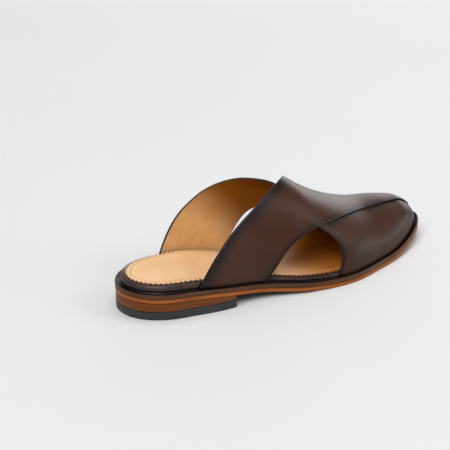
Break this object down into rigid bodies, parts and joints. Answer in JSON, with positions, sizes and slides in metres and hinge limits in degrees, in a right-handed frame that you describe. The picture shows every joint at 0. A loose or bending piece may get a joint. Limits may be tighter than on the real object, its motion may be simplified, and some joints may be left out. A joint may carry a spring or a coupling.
{
  "type": "cross-strap leather mule",
  "caption": "Open-backed leather shoe with two broad straps that cross over the instep into a closed toe, side windows, a tan sock lining, a leather sole and a low stacked heel",
  "frame": {"origin": "on the floor under the middle of the outsole's bounding box", "axes": "toe to +X, medial side of the right foot to +Y, up +Z"},
  "size_m": [0.3, 0.1058, 0.0863],
  "materials": {
    "upper": "dark brown burnished calf, semi-gloss, black painted edges, tan lining inside",
    "sock": "light tan vegetable-tanned leather, matt, pinked edge",
    "footbed": "dark brown calf wrapped over a board, semi-gloss",
    "midsole": "dark brown stained and waxed leather edge",
    "outsole": "orange-brown waxed leather edge",
    "heel_stack": "brown stained leather lifts, waxed",
    "top_lift": "black rubber, matt"
  },
  "bodies": {
    "root": {"upper": "upper", "sock": "sock", "footbed": "footbed", "midsole": "midsole", "outsole": "outsole", "heel_stack": "heel_stack", "top_lift": "top_lift"}
  },
  "joints": []
}
